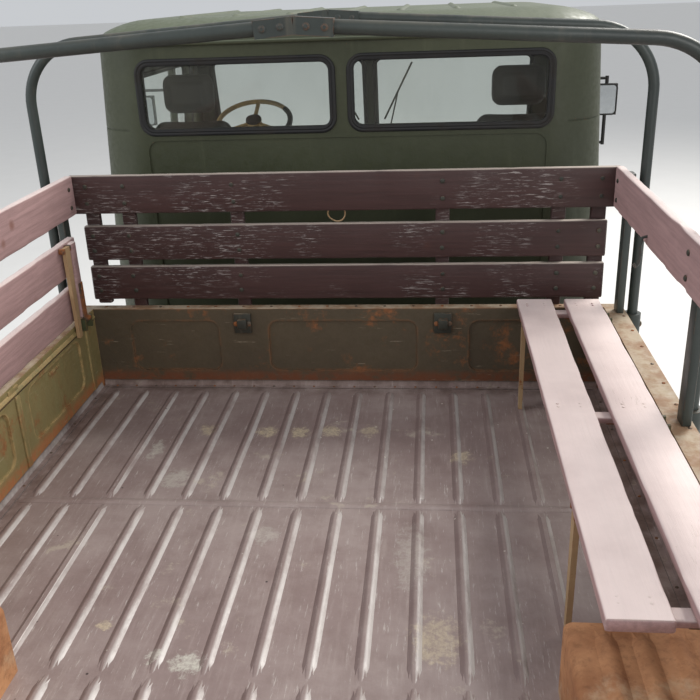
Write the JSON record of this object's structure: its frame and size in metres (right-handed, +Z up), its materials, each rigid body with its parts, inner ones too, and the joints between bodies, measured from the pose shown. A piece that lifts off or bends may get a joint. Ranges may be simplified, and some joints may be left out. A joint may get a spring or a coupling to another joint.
{
  "type": "military cargo truck",
  "caption": "Light four-wheel-drive military cargo truck with a forward-tilting cab, steel load bed, folding side benches, boards and canvas bows.",
  "frame": {"origin": "on the ground below the middle of the truck", "axes": "+X to the truck's right, +Y forwards, +Z up"},
  "size_m": [2.8, 5.655, 2.5389],
  "materials": {
    "tyre": "worn",
    "steel_rim": "matt",
    "cast_parts": "dirty",
    "frame_paint": "worn",
    "bed_paint": "worn, rusty",
    "board_paint": "worn paint",
    "leg_steel": "rusty",
    "cab_paint": "matt",
    "window_glass": "clear",
    "black_rubber": "matt",
    "lamp_glass": "ribbed",
    "black_trim": "matt",
    "seat_cloth": "worn"
  },
  "bodies": {
    "chassis": {"bed_bearers": "frame_paint", "bed_floor": "bed_paint", "bed_front_wall": "bed_paint", "bed_side_walls": "bed_paint", "bench_hinges": "frame_paint", "bows": "frame_paint", "drive_line": "cast_parts", "engine_block": "cast_parts", "exhaust": "frame_paint", "front_axle": "cast_parts", "front_boards": "board_paint", "front_bumper": "frame_paint", "fuel_tanks": "frame_paint", "ladder_frame": "frame_paint", "leaf_springs": "frame_paint", "mudguards": "black_rubber", "rear_axle": "cast_parts", "side_boards": "board_paint", "tail_lamps": "lamp_glass", "tow_fittings": "frame_paint", "wheel_boxes": "bed_paint"},
    "front_wheel_left": {"tyre_front_left": "tyre", "wheel_front_left": "steel_rim"},
    "rear_wheel_left": {"tyre_rear_left": "tyre", "wheel_rear_left": "steel_rim"},
    "knuckle_left": {"steering_knuckle_left": "cast_parts"},
    "door_left": {"door_left": "cab_paint", "door_glass_left": "window_glass"},
    "bench_front_left": {"bench_front_left": "board_paint"},
    "bench_legs_front_left": {"bench_legs_front_left": "leg_steel"},
    "bench_rear_left": {"bench_rear_left": "board_paint"},
    "bench_legs_rear_left": {"bench_legs_rear_left": "leg_steel"},
    "front_wheel_right": {"tyre_front_right": "tyre", "wheel_front_right": "steel_rim"},
    "rear_wheel_right": {"tyre_rear_right": "tyre", "wheel_rear_right": "steel_rim"},
    "knuckle_right": {"steering_knuckle_right": "cast_parts"},
    "door_right": {"door_right": "cab_paint", "door_glass_right": "window_glass"},
    "bench_front_right": {"bench_front_right": "board_paint"},
    "bench_legs_front_right": {"bench_legs_front_right": "leg_steel"},
    "bench_rear_right": {"bench_rear_right": "board_paint"},
    "bench_legs_rear_right": {"bench_legs_rear_right": "leg_steel"},
    "tailgate": {"tailgate": "bed_paint"},
    "steering_wheel": {"steering_wheel": "black_trim"},
    "cab": {"cab_rear_wall": "cab_paint", "cab_front_panel": "cab_paint", "cab_side_frames": "cab_paint", "cab_roof": "cab_paint", "cab_floor": "cab_paint", "engine_cover": "cab_paint", "dashboard": "cab_paint", "steering_column": "cab_paint", "seat_frames": "cab_paint", "seat_cushions": "seat_cloth", "window_seals": "black_rubber", "cab_windows": "window_glass", "grille": "cab_paint", "front_lamps": "lamp_glass", "mirrors": "black_trim"}
  },
  "joints": [
    {"name": "steer_left", "type": "hinge", "parent": "chassis", "child": "knuckle_left", "pos_m": [-0.698, 1.8175, 0.54], "axis": [0, 0, 1], "range_deg": [-28, 28]},
    {"name": "spin_front_left", "type": "hinge", "parent": "knuckle_left", "child": "front_wheel_left", "pos_m": [-0.9, 1.8175, 0.54], "axis": [1, 0, 0], "continuous": true},
    {"name": "spin_rear_left", "type": "hinge", "parent": "chassis", "child": "rear_wheel_left", "pos_m": [-0.875, -1.4825, 0.54], "axis": [1, 0, 0], "continuous": true},
    {"name": "steer_right", "type": "hinge", "parent": "chassis", "child": "knuckle_right", "pos_m": [0.698, 1.8175, 0.54], "axis": [0, 0, 1], "range_deg": [-28, 28]},
    {"name": "spin_front_right", "type": "hinge", "parent": "knuckle_right", "child": "front_wheel_right", "pos_m": [0.9, 1.8175, 0.54], "axis": [1, 0, 0], "continuous": true},
    {"name": "spin_rear_right", "type": "hinge", "parent": "chassis", "child": "rear_wheel_right", "pos_m": [0.875, -1.4825, 0.54], "axis": [1, 0, 0], "continuous": true},
    {"name": "cab_tilt", "type": "hinge", "parent": "chassis", "child": "cab", "pos_m": [0, 2.6825, 0.83], "axis": [-1, 0, 0], "range_deg": [0, 45]},
    {"name": "door_left_swing", "type": "hinge", "parent": "cab", "child": "door_left", "pos_m": [-1.092, 2.44, 1.3], "axis": [0, 0, -1], "range_deg": [0, 70]},
    {"name": "door_right_swing", "type": "hinge", "parent": "cab", "child": "door_right", "pos_m": [1.092, 2.44, 1.3], "axis": [0, 0, 1], "range_deg": [0, 70]},
    {"name": "steering_wheel_turn", "type": "hinge", "parent": "cab", "child": "steering_wheel", "pos_m": [-0.612, 2.1, 1.955], "axis": [0, -0.4384, 0.8988], "range_deg": [-570, 570]},
    {"name": "tailgate_drop", "type": "hinge", "parent": "chassis", "child": "tailgate", "pos_m": [0, -2.8125, 1.068], "axis": [1, 0, 0], "range_deg": [0, 175]},
    {"name": "bench_front_left_fold", "type": "hinge", "parent": "chassis", "child": "bench_front_left", "pos_m": [-1, -0.43, 1.435], "axis": [0, 1, 0], "range_deg": [0, 90]},
    {"name": "bench_front_left_legs", "type": "hinge", "parent": "bench_front_left", "child": "bench_legs_front_left", "pos_m": [-1.008, -0.43, 1.737], "axis": [0, 1, 0], "range_deg": [-90, 0]},
    {"name": "bench_front_right_fold", "type": "hinge", "parent": "chassis", "child": "bench_front_right", "pos_m": [1, -0.43, 1.435], "axis": [0, -1, 0], "range_deg": [-90, 0]},
    {"name": "bench_front_right_legs", "type": "hinge", "parent": "bench_front_right", "child": "bench_legs_front_right", "pos_m": [0.698, -0.43, 1.443], "axis": [0, -1, 0], "range_deg": [0, 90]},
    {"name": "bench_rear_left_fold", "type": "hinge", "parent": "chassis", "child": "bench_rear_left", "pos_m": [-1, -2.05, 1.435], "axis": [0, 1, 0], "range_deg": [0, 90]},
    {"name": "bench_rear_left_legs", "type": "hinge", "parent": "bench_rear_left", "child": "bench_legs_rear_left", "pos_m": [-1.008, -2.05, 1.737], "axis": [0, 1, 0], "range_deg": [-90, 0]},
    {"name": "bench_rear_right_fold", "type": "hinge", "parent": "chassis", "child": "bench_rear_right", "pos_m": [1, -2.05, 1.435], "axis": [0, -1, 0], "range_deg": [0, 90]},
    {"name": "bench_rear_right_legs", "type": "hinge", "parent": "bench_rear_right", "child": "bench_legs_rear_right", "pos_m": [1.008, -2.05, 1.737], "axis": [0, -1, 0], "range_deg": [-90, 0]}
  ],
  "couplings": [
    {"joint": "steer_right", "follows": "steer_left", "ratio": 1},
    {"joint": "steering_wheel_turn", "follows": "steer_left", "ratio": 20},
    {"joint": "bench_front_left_legs", "follows": "bench_front_left_fold", "ratio": -1},
    {"joint": "bench_front_right_legs", "follows": "bench_front_right_fold", "ratio": -1},
    {"joint": "bench_rear_left_legs", "follows": "bench_rear_left_fold", "ratio": -1},
    {"joint": "bench_rear_right_legs", "follows": "bench_rear_right_fold", "ratio": -1}
  ]
}
